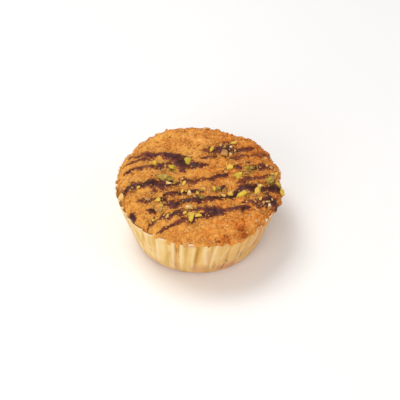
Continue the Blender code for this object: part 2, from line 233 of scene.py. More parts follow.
case = {
    "rimRadius": 37.2,
    "baseRadius": 29.0,  # where the slope would meet the table without its round
    "height": 27.1,  # mean height of the rim
    "tilt": 1.4,  # higher at the left, lower at the right
    "footRound": 5.2, "footRings": 8,
    "footEase": 1.5,  # creases and tilt set in over this height
    "sheet": 0.16,  # greaseproof paper, drawn about three times as thick as it is
    "around": 960,  # points round the case, 20 for each pleat
    "up": 36,  # points up its slope
    "creaseAtFoot": 0.15,  # share of a crease's depth
    "frontCreases": (  # angle at the rim, lean down to the foot, half-width, depth
        (-132, -4, 2.2, 0.8), (-122, -6, 2, 1), (-112, -5, 1.6, 0.4), (-104, -5, 2.3, 1.7),
        (-97, -5, 1.6, 0.8), (-88, -5, 3, 1.9), (-79, -2, 2, 0.9), (-72, 0, 1.6, 0.4),
        (-65, -3, 1.9, 0.8), (-57, 0, 2, 1), (-50, 1, 1.8, 0.9),
    ),
    "backCreases": 37, "backFrom": -43.0, "backTo": 221.0, "backLean": 3.0,
    "backUneven": 0.24,  # of the spacing, over which they are shifted
    "backWidths": (1.5, 0.7),  # the least half-width, and what chance adds to it
    "backDepths": (0.4, 1.2),
    "rimRises": (  # angle, half-width, mm
        (-34, 22, 1.8), (185, 13, 1.2), (-117, 7, 0.9), (-93.5, 5, 1.3), (-82.5, 3.5, 0.8),
    ),
    "riseCrest": 0.4,  # share of the half-width at full height
    "rimWaves": (0.45, 2.4, 71),  # amount, size, seed
    "rimFlare": 0.2,  # outwards, as a share of a rise
    "rimFrom": 0.85,  # share of the height where waves and flare begin
    "wrinkles": ((0.16, 1.8, 70), (0.2, 4.5, 74)),
    "upright": 0.22,  # height counts this much in their noise, so they run upwards
    "wrinkleRise": 1.5,  # they grow with the share of the height times this, up to 1
    "crestHeight": 0.15,
    # marks on the paper: from angle and share of the height, to angle and share,
    # half-width in mm, amount
    # pale: paler crests, partly the paper standing off the cake and partly painted highlight
    "pale": (
        (-120, 0.82, -125, 0.28, 1.6, 0.7), (-107, 0.95, -111, 0.2, 0.8, 0.8),
        (-101, 1, -104, 0.2, 0.8, 0.7), (-93, 0.9, -95, 0.3, 0.7, 0.5),
        (-85, 0.9, -84, 0.42, 1.5, 0.6), (-77, 0.9, -80, 0.25, 0.9, 0.7),
        (-68, 0.8, -72, 0.5, 0.7, 0.5), (-54, 0.65, -57, 0.2, 0.8, 0.6),
        (-132, 0.75, -134, 0.25, 0.9, 0.5),
    ),
    "golden": (
        (-89, 1, -92, 0.45, 1.5, 1), (-118, 0.25, -112, 0.62, 2, 0.6),
        (-133, 0.8, -139, 0.4, 0.9, 0.7), (-126, 0.9, -128, 0.65, 1.4, 0.5),
        (-104, 1, -105, 0.7, 1.8, 0.6), (-138, 0.8, -149, 0.3, 2.2, 0.4),
        (-112, 1, -113, 0.72, 1.5, 0.4), (-46, 0.5, -48, 0.34, 1, 0.7),
        (-51, 0.94, -45, 0.87, 0.6, 0.7), (-98, 0.9, -99, 0.3, 2.6, 0.3),
        (-138, 0.56, -138, 0.44, 1, 0.7), (-105, 0.95, -105.5, 0.7, 1.2, 1),
        (-113.5, 0.55, -115.5, 0.22, 1.2, 0.7),
    ),
    "peach": (
        (-97, 0.97, -91, 0.97, 1, 0.8), (-95, 0.2, -80, 0.22, 2.6, 0.6),
        (-74, 0.18, -58, 0.18, 2, 0.9), (-42, 0.42, -38, 0.5, 1.4, 0.8),
        (-83, 0.8, -82, 0.45, 1.2, 0.5), (-108, 0.25, -112, 0.35, 1.8, 0.4),
        (-129, 0.5, -129, 0.46, 0.6, 1), (-133, 0.3, -133, 0.22, 0.9, 0.6),
    ),
    # dark spots, and painted shade along crinkles and folds
    "scuffs": (
        (-104, 0.6, -104, 0.58, 0.28, 1), (-69.5, 0.41, -68.2, 0.45, 0.25, 0.8),
        (-68.2, 0.45, -65.5, 0.37, 0.25, 0.8), (-65.5, 0.48, -69.5, 0.34, 0.5, 0.35),
        (-56, 0.5, -56.5, 0.2, 0.5, 0.3), (-77, 0.44, -78, 0.22, 0.4, 0.4),
        (-91.5, 0.42, -93.5, 0.22, 0.4, 0.4), (-67, 0.37, -66, 0.35, 0.8, 0.7),
        (-68, 0.27, -69.5, 0.18, 1.1, 0.5), (-54, 0.47, -54, 0.36, 1, 0.6),
        (-43, 0.5, -43, 0.4, 0.9, 0.5), (-76, 0.32, -77, 0.22, 0.7, 0.5),
        (-66.8, 0.62, -66.8, 0.5, 0.8, 0.3),
    ),
    "folds": (  # fine creases: the same, with a depth in mm
        (-66, 0.54, -71, 0.18, 0.7, 0.3), (-55.5, 0.72, -57.5, 0.2, 0.7, 0.3),
        (-48.5, 0.7, -47, 0.3, 0.8, 0.3), (-111, 0.62, -118, 0.27, 0.8, 0.35),
        (-77, 0.9, -79.5, 0.25, 0.8, 0.25), (-61, 0.8, -64, 0.4, 0.6, 0.2),
        (-139, 0.7, -142, 0.3, 0.8, 0.3),
    ),
    "meanRadius": 33,  # turns a mark's degrees into mm
    "softEnds": 2.5,  # marks fade this much more slowly at their ends
}


def allCreases():
    # The creases that show at the front, then uneven ones spread over the rest
    draws = np.random.default_rng(7).random((case["backCreases"], 3))
    pitch = (case["backTo"] - case["backFrom"]) / case["backCreases"]
    places = np.arange(case["backCreases"]) + 0.5 + case["backUneven"] * (draws[:, 0] - 0.5)
    angle = case["backFrom"] + places * pitch
    lean = case["backLean"] * np.sin(2 * np.radians(angle))
    (width, wider), (depth, deeper) = case["backWidths"], case["backDepths"]
    back = [angle, lean, width + wider * draws[:, 1], depth + deeper * draws[:, 2]]
    return np.concatenate([np.array(case["frontCreases"], float), np.stack(back, axis=-1)])


creases = allCreases()


def rimHeight(angle):
    return case["height"] - case["tilt"] * np.cos(np.radians(angle))


def rimRise(angle):
    # Stretches where the paper's rim stands higher than the crumb beside it
    rise = 0.0 * angle
    for middle, halfWidth, amount in case["rimRises"]:
        away = np.abs(turnedFrom(middle, angle)) / halfWidth
        rise = rise + amount * fade(away, case["riseCrest"])
    return rise


def wallProfile(count, inward):
    # Radius, height and share of the height: an arc tangent to the table and to the
    # slope, then the slope; each is moved in by the same distance
    slope = np.arctan2(case["rimRadius"] - case["baseRadius"], case["height"])
    middle = case["baseRadius"] - case["footRound"] * (1 - np.sin(slope)) / np.cos(slope)
    turn = np.linspace(np.pi / 2, slope, case["footRings"])[:-1]
    arc = case["footRound"] - inward
    arcZ = case["footRound"] - arc * np.sin(turn)
    low = (case["footRound"] * (1 - np.sin(slope))) / case["height"]
    share = np.linspace(low, 1, count)
    radius = case["baseRadius"] + (case["rimRadius"] - case["baseRadius"]) * share
    radius = np.concatenate([middle + arc * np.cos(turn), radius - inward / np.cos(slope)])
    share = np.concatenate([arcZ / case["height"], share])
    z = np.concatenate([arcZ, share[len(turn):] * case["height"]])
    return radius[:, None], z[:, None], share[:, None]


def creaseDepth(angle, share):
    # How far the creases draw the wall in, as rounded grooves that deepen upwards, and
    # how deep each point lies in its groove from 0 to 1
    depth, inside = 0 * (angle + share), 0 * (angle + share)
    for middle, lean, halfWidth, full in creases:
        away = turnedFrom(lean * (1 - share), angle - middle)
        groove = smoothStep(0, 1, np.clip(1 - np.abs(away) / halfWidth, 0, 1))
        depth = np.maximum(depth, full * groove * np.minimum(1, case["creaseAtFoot"] + share))
        inside = np.maximum(inside, groove * min(1, full))
    return depth, inside


def wallRings(angle, count, inward):
    # The wall as rings of points from the foot to the rim
    radius, z, share = wallProfile(count, inward)
    depth, inside = creaseDepth(angle, share)
    rising = np.clip(z / case["footEase"], 0, 1)
    tilted = z + (rimHeight(angle) - case["height"]) * share * rising
    return polar(radius - depth * rising, angle + 0 * share, tilted), inside, share + 0 * inside


def strokes(angle, share, rows):
    # How much soft strokes cover each point of the wall: its distance, in mm over the
    # unrolled wall, to a line from one end to the other, faded out to the half-width
    across, up = np.radians(1) * case["meanRadius"], case["height"]
    total = 0 * (angle + share)
    for fromAngle, fromShare, toAngle, toShare, halfWidth, amount in rows:
        along = np.array([(toAngle - fromAngle) * across, (toShare - fromShare) * up])
        dx = turnedFrom(fromAngle, angle) * across + 0 * share
        dy = (share - fromShare) * up + 0 * angle
        t = np.clip((dx * along[0] + dy * along[1]) / (along @ along), 0, 1)
        away = np.hypot(dx - t * along[0], (dy - t * along[1]) / case["softEnds"]) / halfWidth
        total = np.maximum(total, amount * fade(away))
    return total


backMarks = {
    "top": (0.7, 1.0),  # shares of the height between which a mark begins
    "low": (0.1, 0.4),
    "beside": 1.2,  # degrees from a crease's edge to its pale crest
    "crestLean": 0.7,  # of the crease's
    "paleWidth": (0.6, 1.4), "pale": (0.3, 0.9),
    "goldenChance": 0.35, "goldenWidth": (0.8, 2.4), "golden": (0.3, 0.8),
}


def backStrokes():
    # Marks for the pleats that the photo doesn't show: pale crests beside the creases,
    # and now and then a golden one
    # the pale crests are partly painted highlight
    rng = np.random.default_rng(61)
    pale, golden = [], []
    for middle, lean, halfWidth, _ in creases[len(case["frontCreases"]):]:
        top, low = rng.uniform(*backMarks["top"]), rng.uniform(*backMarks["low"])
        place = middle + rng.choice([-1, 1]) * (halfWidth + backMarks["beside"])
        pale.append((place, top, place + lean * backMarks["crestLean"], low,
                     rng.uniform(*backMarks["paleWidth"]), rng.uniform(*backMarks["pale"])))
        if rng.random() < backMarks["goldenChance"]:
            golden.append((middle, top, middle + lean, low,
                           rng.uniform(*backMarks["goldenWidth"]), rng.uniform(*backMarks["golden"])))
    return tuple(pale), tuple(golden)


backPale, backGolden = backStrokes()


def paleCrests(angle, share):
    # paler crests, partly painted highlight; they also raise the wrinkles
    return strokes(angle, share, case["pale"] + backPale)


def paperWrinkle(angle, share, pale):
    # How far the paper stands out, in mm: soft upright wrinkles and the pale crests,
    # less the fine creases; nothing at the foot
    spots = polar(case["rimRadius"], angle + 0 * share, 0)
    along = spots + share[..., None] * (0, 0, case["upright"] * case["height"])
    wrinkle = layers(along, *case["wrinkles"])
    wrinkle += case["crestHeight"] * pale - strokes(angle, share, case["folds"])
    return wrinkle * np.clip(share * case["wrinkleRise"], 0, 1), along


# Crust: the same form as the solid's, then the crumb on top

crust = {
    "overhang": 0.9,  # past the rim at the right
    "lipRise": 0.9,  # of the widest line over the rim
    "shoulderHeight": 4.2,
    "shoulderShare": 0.15,  # of the radius, over which the edge rounds up
    "domeHeight": 2.8,
    "lumps": ((9.0, 1.1), (3.8, 1.0)),  # length and height
    "lumpSlice": 3.0,  # where the lumps' noise is cut
    "edgeLumps": (2.6, 0.9),
    "lipWaves": (  # angle, half-width, amount
        (-34, 19, -1.3), (187, 9, -0.5), (3, 10, -1.2), (45, 22, 1), (67, 16, -0.9), (110, 24, 0.5),
        (150, 14, -0.9), (195, 40, -0.6), (-35, 20, 0.5), (-75, 25, 0.4),
    ),
    "cells": 280,  # along one side of the grid
    "flatRings": 0.8,  # this share of the rings lies inside the shoulder
    "bendSize": 1.6,
    # clumps and grains: size, height, how far they are bent, distance where they end, seed
    "bumps": ((1.9, 0.8, 0.7, 0.55, 20), (0.85, 0.42, 0.3, 0.5, 30)),
    "leastBump": 0.3,  # height of the lowest, as a share
    "swells": (0.3, 3.4, 40),  # amount, size, seed
    "wallPoints": 7,  # down the side
    "wallGap": 0.8,  # room for the paper's wrinkles
    "neckGap": 0.25,  # under the crust
    "neckTop": 0.2,  # over the rim
    "tuck": (0.5, 0.4),  # the crust's underside: in from the lip, and over the rim
    "mostShort": 2,  # mm that the lip may fall short of the rim and be followed
    "slides": (0.3, 0.7),  # neck inwards and underside down, for each mm it falls short
    "hangs": (  # angle, half-width, how far the crumb spills over the paper's edge
        (-119, 2.5, 0.3), (-110, 2.2, 1.5), (-104, 2.4, 1.7), (-99, 2, 1.2), (-90, 3.5, 0.5),
        (-81, 3, 0.3), (-74, 3, 0.7), (-66, 4.5, 1.9), (-60, 4, 1.3),
    ),
    "hangCrest": 0.2,  # share of the half-width that hangs in full
    "hangFrom": 0.93,  # share of the radius
    "spill": 37.75,  # radius that the crumb is pushed out to where it hangs
    "hangEverywhere": 0.45, "hangNoise": (2.6, 41),
    "keptOff": 0.5,  # a rim that rises this far keeps the crumb off
    "browned": (  # places that took more heat: x, y, radius, amount
        (20, -29, 8, 0.14), (19.4, -31, 4, 0.16), (19.6, -28.8, 0.8, 0.16), (12, -34.5, 4, 0.2),
        (33, -8, 11, 0.08), (12, 28, 15, 0.12), (28, 22, 13, 0.16), (-26, -24, 10, 0.08),
        (-18, 4, 20, -0.07), (-30, -4, 9, -0.06),
    ),
    "goldCloud": (0.5, 5.0, 61),
    "goldFrom": (0.45, 50),  # at the middle, and the mm to the right over which 1 is lost
    "gold": 0.6,
    # toast: its level, per mm of relief (painted shade: lower crumb darker, higher crumb paler), per
    # grain, in clouds, beside the chocolate
    "toast": 0.46, "toastDown": 0.26, "toastGrain": 0.4, "toastCloud": (0.1, 7, 60),
    "toastBeside": 0.1, "sideToast": 0.42, "sideGold": 0.3,
}

blenderNoise = np.frompyfunc(lambda x, y, z: noise.noise((x, y, z)), 3, 1)


def lipRadius(angle):
    # The crust's widest line: the rim, a lean to one side, swellings and small bumps
    turn = np.radians(angle)
    length, height = crust["edgeLumps"]
    bumps = blenderNoise(*(np.stack([np.cos(turn), np.sin(turn), 0 * turn])
                           * case["rimRadius"] / length)).astype(float)
    waves = 0 * turn
    for middle, halfWidth, amount in crust["lipWaves"]:
        away = np.abs(turnedFrom(middle, angle)) / halfWidth
        waves += amount * (0.5 + 0.5 * np.cos(np.pi * np.minimum(away, 1)))
    return case["rimRadius"] + crust["overhang"] * np.cos(turn) + waves + height * bumps


def crustPoint(x, y):
    # Rim height, a quarter ellipse at the shoulder, a parabola for the dome, soft lumps
    angle = np.degrees(np.arctan2(y, x))
    share = np.minimum(np.hypot(x, y) / lipRadius(angle), 1)
    inside = np.maximum(share - 1 + crust["shoulderShare"], 0) / crust["shoulderShare"]
    z = case["height"] + (rimHeight(angle) - case["height"]) * share + crust["lipRise"]
    z = z + crust["shoulderHeight"] * np.sqrt(np.maximum(1 - inside**2, 0))
    z = z + crust["domeHeight"] * (1 - share**2)
    for length, height in crust["lumps"]:
        z = z + height * blenderNoise(x / length, y / length, crust["lumpSlice"]).astype(float)
    return np.stack([x, y, z], axis=-1)


def crustNormal(x, y, step=0.15, within=0.985):
    # Out of the crust at x, y, kept a little inside its steep edge
    reach = within * lipRadius(np.degrees(np.arctan2(y, x)))
    pull = np.minimum(1, reach / np.maximum(np.hypot(x, y), 1))
    x, y = x * pull, y * pull
    alongX = crustPoint(x + step, y) - crustPoint(x - step, y)
    alongY = crustPoint(x, y + step) - crustPoint(x, y - step)
    normal = np.cross(alongX, alongY)
    return normal / np.linalg.norm(normal, axis=-1, keepdims=True)


def crumbHang(angle, share):
    # Near the edge the crumb sinks over the paper: a little all round, unevenly, and
    # more at a few places, where it is pushed out as well
    around = polar(1.0, angle, 0) * case["rimRadius"]
    drop = crust["hangEverywhere"] * (1 + softNoise(around, *crust["hangNoise"]))
    drop = drop * (1 - smoothStep(0, crust["keptOff"], rimRise(angle)))
    push = 0 * angle
    for middle, halfWidth, amount in crust["hangs"]:
        away = np.abs(turnedFrom(middle, angle)) / halfWidth
        lobe = fade(away, crust["hangCrest"])
        drop = drop + amount * lobe
        push = np.maximum(push, lobe)
    push = push * np.maximum(crust["spill"] - lipRadius(angle), 0)
    near = smoothStep(crust["hangFrom"], 1, share)
    return drop * near, push * near


def crumbRelief(points):
    # Height of the crumb over the smooth crust: clumps and grains, each a rounded bump
    # about its middle, with soft noise that bends their outlines; and their mean tone
    bend = np.stack([softNoise(points, crust["bendSize"], seed) for seed in (1, 2, 3)], axis=-1)
    relief, tone = 0, 0
    for size, height, bent, end, seed in crust["bumps"]:
        away, ownTone = grains(points + bent * bend, size, seed)
        relief = relief + height * (end - away) * (crust["leastBump"] + ownTone)
        tone = tone + 0.5 * ownTone
    return relief + layers(points, crust["swells"]), tone


def crustShares(rng, count, onEdge):
    # Shares of the lip's radius: even over the dome, and even down the shoulder's curve
    dome = (1 - crust["shoulderShare"]) * np.sqrt(rng.random(count))
    edge = 1 - crust["shoulderShare"] * (1 - np.sin(np.pi / 2 * rng.random(count)))
    return np.where(rng.random(count) < onEdge, edge, dome)


# Chocolate: where it lies

chocolate = {
    "lines": (  # how full a line is, then x, y and width at the points it runs through
        (0.65, ((-33, 10.5, 0.6), (-29, 12.3, 1), (-25.5, 13.2, 1.8), (-21.5, 13.3, 3),
            (-17.5, 12.9, 3.2))),
        (1, ((-18.5, 13.4, 2.6), (-14, 12.4, 3.8), (-10.4, 10.8, 4.4), (-8.2, 7.6, 4.6),
            (-5, 5.6, 3.4), (-1.6, 6.3, 3.2), (1, 5.8, 2.4), (4.6, 6.6, 0.9))),
        (1.6, ((-9.2, 12.4, 3), (-7.8, 10, 4.2), (-7.2, 7.2, 4.4), (-7.4, 5, 2.4))),
        (0.4, ((-34.5, 6, 0.5), (-31, 7.5, 0.8), (-27.5, 9.4, 1.2), (-24, 10.8, 1.6),
            (-20, 10.6, 1.6))),
        (0.7, ((-33, 1.8, 1), (-30, 3.2, 1.6), (-27, 4.2, 2.1), (-24, 5.5, 1.6), (-20.5, 5.4, 1.6),
            (-17.5, 5.8, 2.6), (-14.5, 5.8, 2.6), (-11, 5.8, 2.6))),
        (0.5, ((2.6, 16.4, 2), (5, 15.6, 1.8), (8, 14.8, 1.4))),
        (1.2, ((6.6, 15.8, 1.8), (9, 16.8, 3.4), (11.8, 18, 4.2), (15, 20.8, 2.6))),
        (0.7, ((15.6, 17.6, 1.8), (18, 17.6, 2.4), (21, 18.6, 2), (24, 19.6, 1.3), (26, 20.2, 0.8))),
        (0.8, ((1.8, 10.6, 1.8), (4.2, 11.2, 2.4), (6.6, 12.4, 2.4), (8.5, 13.4, 1.2))),
        (0.4, ((15, 12, 1.4), (17.5, 12.9, 2), (20.5, 13.4, 1.8), (23, 14.2, 1.2))),
        (0.5, ((24.4, 15.6, 1.2), (27.5, 16.4, 1.8), (31, 17, 1.6), (33, 16.8, 0.8))),
        (0.3, ((21, 9.4, 1), (23, 10.2, 1.4), (25, 11, 1.2))),
        (1, ((16.4, 6.2, 1.6), (17.9, 5.9, 2.4), (19.6, 5.2, 1.6))),
        (0.8, ((23.4, 5.6, 1.4), (25.4, 6.8, 2), (28, 7.8, 2.2), (31, 8.6, 2), (34, 9.4, 1.2))),
        (1, ((-36.5, -8.6, 2), (-33.5, -9.2, 2.8), (-30.5, -8.2, 3.2), (-27.5, -7.4, 3),
            (-23.5, -6, 3.4), (-19.4, -6, 4.4), (-16, -6.6, 3.6), (-13.2, -6.6, 2))),
        (1.6, ((-23, -5.6, 3.2), (-20.4, -5.9, 4.6), (-17.4, -6.2, 5), (-14.4, -6, 3.8),
            (-12, -5.8, 1.8))),
        (0.9, ((-11.6, -5.6, 1.4), (-9.8, -6.2, 2.2), (-7.8, -5.6, 1.4))),
        (0.4, ((-9, -3.2, 1.4), (-6, -3.8, 2.2), (-2.5, -4.2, 2.4), (1, -3.4, 2.2), (4, -2.8, 1.8))),
        (0.7, ((4.8, -2.6, 1.8), (6.6, -2.6, 2.2), (8.5, -1, 1.6), (10.5, -0.4, 2.2),
            (13.2, 0.3, 1))),
        (0.5, ((17.5, -4.2, 1.6), (20.5, -3, 2.2), (22.8, -1, 2.6), (25.2, 0, 2.4), (28.5, 0.9, 2),
            (31.5, 2.6, 1.4), (34, 3.4, 1.2))),
        (1.3, ((15.5, -12.4, 1.8), (17, -10.6, 2), (18.6, -9, 2.4), (21.5, -7.2, 4.2),
            (25, -6, 3.8))),
        (1, ((24.6, -6, 3.8), (28.5, -6.6, 2.6), (32, -5.8, 2.6), (35.5, -4.4, 2.4),
            (37.2, -3.4, 2))),
        (0.8, ((29.6, -7.4, 1.4), (30.6, -9.4, 2), (31.4, -11.4, 1.6))),
        (0.9, ((-14.6, -13.8, 2.2), (-11.5, -12.8, 2.4), (-8.5, -12.4, 2.2), (-5, -11.6, 1.6),
            (-1, -10.6, 1.4), (2.5, -11.8, 1.2))),
        (0.6, ((-26.8, -16.8, 1.6), (-24.8, -15.8, 2.8), (-22.5, -16.4, 2.2), (-19.5, -15.4, 1.2),
            (-16, -15.4, 1.6), (-13.5, -17, 2.6))),
        (1, ((-16.2, -20, 1.4), (-13.8, -18.9, 2.6), (-11.4, -18.3, 3.6), (-9, -17.8, 2.8),
            (-5.5, -16.8, 2.2), (-1, -16, 2.2), (3.5, -15.4, 1.8), (8, -14.7, 1.8), (12, -14, 1.4),
            (15.5, -12.6, 1.8))),
        (0.5, ((19, -15.6, 1.2), (22, -15, 1.6), (25.5, -15, 1.8), (29, -15.2, 2.4))),
        (1, ((29, -14, 1.8), (32, -13.4, 3.6), (34.4, -13, 3), (35.8, -12.6, 1.6))),
        (0.9, ((-36.4, -9.2, 1), (-35.8, -11.5, 0.8), (-34.8, -14, 0.6))),
        (0.5, ((24.5, -16.6, 1.2), (27, -16.6, 1.8), (30, -15.8, 1.4))),
        (0.4, ((-22.2, -29.4, 0.7), (-20, -28.2, 1.2), (-17.5, -26.8, 1.2))),
        (0.8, ((-17.5, -26.8, 1.2), (-14, -25.6, 1.7), (-10.5, -24.4, 1.8), (-7.4, -23.4, 2.6),
            (-4, -22.2, 1.8), (0, -21.5, 1.6), (4, -21.2, 1.6))),
        (0.8, ((3, -21, 1.4), (6, -21.4, 2.7), (9, -21.6, 2.9), (11.6, -21.4, 1.8))),
        (0.6, ((11, -21, 1.6), (14.5, -20.4, 2.4), (17.5, -19.6, 2.8), (20, -19.2, 2.8),
            (23, -18.4, 1.4))),
        (0.6, ((-18, -32.2, 0.7), (-14.5, -31.2, 1), (-10.5, -29.6, 1.1), (-7, -28, 1.3))),
        (0.8, ((-7, -27, 2), (-3.5, -26.6, 2.4), (0.5, -25.4, 2.4), (3.5, -24.2, 2.8),
            (7.5, -23.6, 2), (12, -23.2, 1.4))),
        (0.4, ((-15.5, -26.6, 0.9), (-13, -26.1, 1.1))),
        (0.4, ((-10, -25.6, 1), (-6.5, -24.6, 1.4))),
        (0.9, ((-22.4, -21.8, 1.2), (-20.4, -22.4, 2.2), (-18.6, -24, 1.3))),
        (0.9, ((-29.8, -20.2, 0.8), (-28.6, -21.8, 1.5), (-27.2, -23.6, 1.4))),
        (0.3, ((-18, -1, 0.5), (-17, 0.2, 0.6))),
        (0.4, ((-11.6, 1.4, 0.9), (-9, 0.7, 1.1))),
        (0.4, ((-7, 3, 1), (-5.8, 1.9, 1.2))),
        (0.8, ((8.4, -9.8, 1.6), (10.8, -8, 2.2), (11.8, -6.4, 1.4))),
    ),
    "spread": 0.78,  # half-width as a share of the width
    "stationStep": 0.5, "stationsAtOnce": 12,
    "taper": 5,  # stations over which an end widens from half to full
    "swelling": (0.3, 3.5, 50),  # amount, size, seed
    "ragged": ((0.42, 1.9, 51), (0.4, 0.8, 52)),
    "farAway": -9.0,  # cover where no line is near
    "edge": -0.1,  # cover where the skin ends
    # height of the skin over the crust: where it is thinnest, more for full lines,
    # rounded up from an edge, fuller along the middle, and following the crumb
    "base": -0.75, "fuller": 0.42, "thickness": 0.8, "rounding": 0.15,
    "belly": 0.25, "follow": 0.45,
    "strands": 0.16,  # height of the ripples along a line
    "strandSize": 0.75, "strandSeed": 53, "strandStretch": (0.3, 1, 1),
    "depth": 1.0,  # the underside lies this far below the crust
    "darkest": 0.8,  # thicker chocolate gets no darker
    # paler where a strand ripple rises: a painted highlight
    "paleStrands": 0.25,
    "clouds": (0.25, 2.6, 54),  # amount, size, seed, here and below
    "stain": (0.6, 0.35),  # of the crumb below: at least, and more under full lines
    "stainCover": (-0.45, 0.35),
    "besideCover": (-1.6, 0),  # the crumb is more toasted here
    "breath": 0.14,  # stain just beside the lines
    "breathCover": (-2.4, -0.2),
    "smear": (28, 2, 17, 0.2),  # x, y, radius, amount
    "smearCrest": 0.2,  # share of the radius
    "smearCloud": (0.6, 2.4, 62),
}


def smoothPath(points, step):
    # Points on a Catmull-Rom curve through the given ones, at about equal steps
    knots = np.array([points[0], *points, points[-1]], float)
    path = []
    for a, b, c, d in zip(knots, knots[1:], knots[2:], knots[3:]):
        count = max(2, round(np.hypot(*(c - b)[:2]) / step))
        t = np.linspace(0, 1, count, endpoint=False)[:, None]
        path.append(b + 0.5 * t * (c - a) + t**2 * (a - 2.5 * b + 2 * c - 0.5 * d)
                    + t**3 * (1.5 * (b - c) + 0.5 * (d - a)))
    return np.concatenate([*path, knots[-1:]])


def chocolateCover(points):
    # 1 along the middle of a line, 0 at its edge and less outside, made ragged by
    # noise; and how full the nearest line is
    flat = points[..., :2].reshape(-1, 2)
    cover, full = np.full(len(flat), chocolate["farAway"]), np.zeros(len(flat))
    block = chocolate["stationsAtOnce"]
    for fullness, through in chocolate["lines"]:
        path = smoothPath(through, chocolate["stationStep"])
        ends = np.minimum(np.arange(len(path)), np.arange(len(path))[::-1])
        spine = np.pad(path[:, :2], ((0, 0), (0, 1)))
        half = chocolate["spread"] * path[:, 2]
        half = half * (0.5 + 0.5 * smoothStep(0, chocolate["taper"], ends))
        half *= 1 + layers(spine, chocolate["swelling"])
        for k in range(0, len(path), block):
            reach = np.linalg.norm(flat[:, None] - path[None, k:k + block + 1, :2], axis=-1)
            here = 1 - (reach / half[k:k + block + 1]).min(axis=1)
            full = np.where(here > cover, fullness, full)
            cover = np.maximum(cover, here)
    cover, full = cover.reshape(points.shape[:-1]), full.reshape(points.shape[:-1])
    cover += layers(points, *chocolate["ragged"])
    return cover, full


# The crust's grid: a square pressed into a disc, with rings evenly spaced over the edge

half = crust["cells"] // 2
i, j = np.meshgrid(np.arange(-half, half + 1), np.arange(-half, half + 1), indexing="ij")
ring = np.maximum(np.abs(i), np.abs(j))
wide = np.abs(i) >= np.abs(j)
ratio = np.where(wide, j, i) / np.where(wide, np.where(i == 0, 1, i), np.where(j == 0, 1, j))
gridAngle = np.where(wide, np.where(i > 0, 0, 180) + 45 * ratio, np.where(j > 0, 90, 270) - 45 * ratio)
inner = np.minimum(ring / half / crust["flatRings"], 1)
outer = np.maximum(ring / half - crust["flatRings"], 0) / (1 - crust["flatRings"])
gridShare = (1 - crust["shoulderShare"]) * inner + crust["shoulderShare"] * np.sin(np.pi / 2 * outer)
gridSpots = polar(gridShare * lipRadius(gridAngle), gridAngle, 0)
smoothCrust = crustPoint(gridSpots[..., 0], gridSpots[..., 1])
gridNormal = np.cross(np.gradient(smoothCrust, axis=0), np.gradient(smoothCrust, axis=1))
gridNormal /= np.linalg.norm(gridNormal, axis=-1, keepdims=True)
relief, grainTone = crumbRelief(smoothCrust)
sunk, pushed = crumbHang(gridAngle, gridShare)
smoothCrust += polar(pushed, gridAngle, -sunk)
cover, fullness = chocolateCover(smoothCrust)
print("crust worked out:", smoothCrust.shape)


def spots(points, rows, crest=0):
    # Round spots added up, each faded out over its radius
    total = np.zeros(points.shape[:-1])
    for x, y, radius, amount in rows:
        away = np.hypot(points[..., 0] - x, points[..., 1] - y) / radius
        total += amount * fade(away, crest)
    return total


def browning(points):
    return spots(points, crust["browned"])


def smearing(points, cover):
    # Thin smears of chocolate: a breath round each line, and more of it at the right
    smear = chocolate["breath"] * smoothStep(*chocolate["breathCover"], cover)
    smear = smear + spots(points, [chocolate["smear"]], chocolate["smearCrest"])
    cloud = chocolate["smearCloud"]
    return np.clip(smear * (cloud[0] + layers(points, cloud)), 0, 1)


def goldenSide(points):
    # The left of the crust is yellower, in soft clouds
    level, width = crust["goldFrom"]
    side = level - points[..., 0] / width + layers(points, crust["goldCloud"])
    return crust["gold"] * np.clip(side, 0, 1)


def bakedCrumbMaterial():
    # Baked coconut crumb: a dry, matt, grainy crust; pale shreds, golden body, toasted
    # tips and deep orange pits, the pits darkened partly by painted shade, with a little
    # light carried through the crumb
    made, tree, shader = newMaterial(
        "bakedCoconutCrumb", Roughness=0.78, IOR=1.45, Subsurface_Weight=0.12,
        Subsurface_Scale=mm, Subsurface_Radius=(1.0, 0.5, 0.2), Specular_IOR_Level=0.25)
    place = addNode(tree, "TexCoord")
    toast = addNode(tree, "Attribute", attribute_name="toast")
    # crumb grit of about 0.5 mm, as much paler as darker
    grit = addNode(tree, "TexNoise", {"Vector": (place, "Object"), "Scale": 1800,
                                      "Detail": 3, "Roughness": 0.6})
    gritty = addNode(tree, "Math", {0: (grit, "Fac"), 1: 0.3, 2: -0.15}, operation="MULTIPLY_ADD")
    tone = addNode(tree, "Math", {0: (toast, "Fac"), 1: (gritty, 0)}, operation="ADD")
    crumb = addNode(tree, "ValToRGB", {"Fac": (tone, 0)}, ramp=[
        (0.0, "#F6C68C"), (1.0, "#5F240A"), (0.26, "#E7A356"), (0.48, "#D98832"),
        (0.66, "#C1621C"), (0.82, "#964210")])
    color = marked(tree, (crumb, "Color"), (("gold", "#DFA447"), ("stain", "#562417")))
    finishShader(tree, shader, color, (grit, "Fac"), 0.5, 0.25)
    return made


bakedCrumb = bakedCrumbMaterial()


